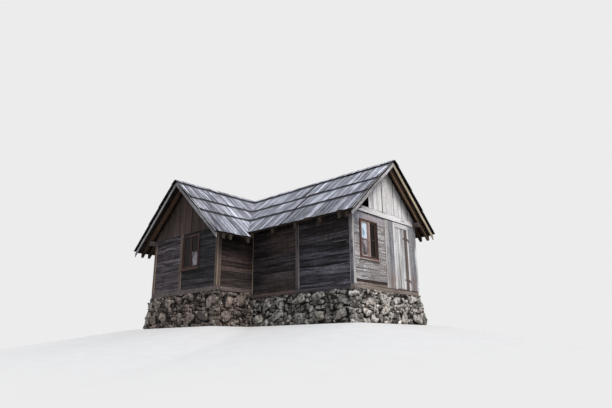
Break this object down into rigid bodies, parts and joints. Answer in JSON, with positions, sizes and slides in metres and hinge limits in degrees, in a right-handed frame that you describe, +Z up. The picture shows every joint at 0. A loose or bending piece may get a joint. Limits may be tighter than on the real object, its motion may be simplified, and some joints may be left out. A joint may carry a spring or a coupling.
{
  "type": "mountain hut of posts and hewn planks",
  "caption": "L-shaped timber hut of posts and stacked planks on a dry-stone plinth, with a steep board roof, casement windows and a ledged door that swings.",
  "frame": {"origin": "middle of the hut's overall plan, at the foot of the stone plinth", "axes": "+X along the long wall towards the gable with the door, +Y to the back, +Z up"},
  "size_m": [8.83, 5.83, 4.8867],
  "materials": {
    "field_stone": "rough grey rubble",
    "frame_timber": "hewn and weathered",
    "light_post": "weathered pale grey",
    "dark_plank": "hewn, dark grey-brown",
    "silver_plank": "hewn, silver grey",
    "silver_board": "sawn, weathered pale grey",
    "roof_board": "split, silver blue-grey",
    "brown_timber": "brown, under cover",
    "floor_board": "worn boards",
    "red_joinery": "old red-brown paint",
    "pane": "old window glass",
    "wrought_iron": "forged and rusted"
  },
  "bodies": {
    "cabin": {"battens_main": "brown_timber", "battens_wing": "brown_timber", "door_frame": "light_post", "door_pintles": "wrought_iron", "door_side_boards": "silver_board", "floor": "floor_board", "floor_joists": "floor_board", "gable_main": "silver_board", "gable_window_frame": "red_joinery", "gable_window_glass": "pane", "gable_window_sashes": "red_joinery", "gable_wing_back": "silver_board", "gable_wing_front": "silver_board", "plinth_back": "field_stone", "plinth_front": "field_stone", "plinth_gable": "field_stone", "plinth_left": "field_stone", "plinth_wing_back": "field_stone", "plinth_wing_front": "field_stone", "plinth_wing_side": "field_stone", "posts_main": "light_post", "posts_wing": "light_post", "rafters_main": "brown_timber", "rafters_wing": "brown_timber", "rake_boards": "silver_board", "ridge_beams": "brown_timber", "roof_main_back": "roof_board", "roof_main_front": "roof_board", "roof_wing_left": "roof_board", "roof_wing_right": "roof_board", "sills_main": "frame_timber", "sills_wing": "frame_timber", "valley_rafters": "brown_timber", "wall_back": "dark_plank", "wall_front": "dark_plank", "wall_gable": "silver_plank", "wall_left": "dark_plank", "wall_plates": "frame_timber", "wall_wing_back": "dark_plank", "wall_wing_front": "dark_plank", "wall_wing_side": "dark_plank", "wing_window_frame": "red_joinery", "wing_window_glass": "pane", "wing_window_sashes": "red_joinery"},
    "door": {"door_hinges": "wrought_iron", "door_leaf": "silver_board", "door_ledges": "silver_board"}
  },
  "joints": [
    {"name": "door_hinge", "type": "hinge", "parent": "cabin", "child": "door", "pos_m": [3.977, 1.861, 1.97], "axis": [0, 0, 1], "range_deg": [0, 110]}
  ]
}
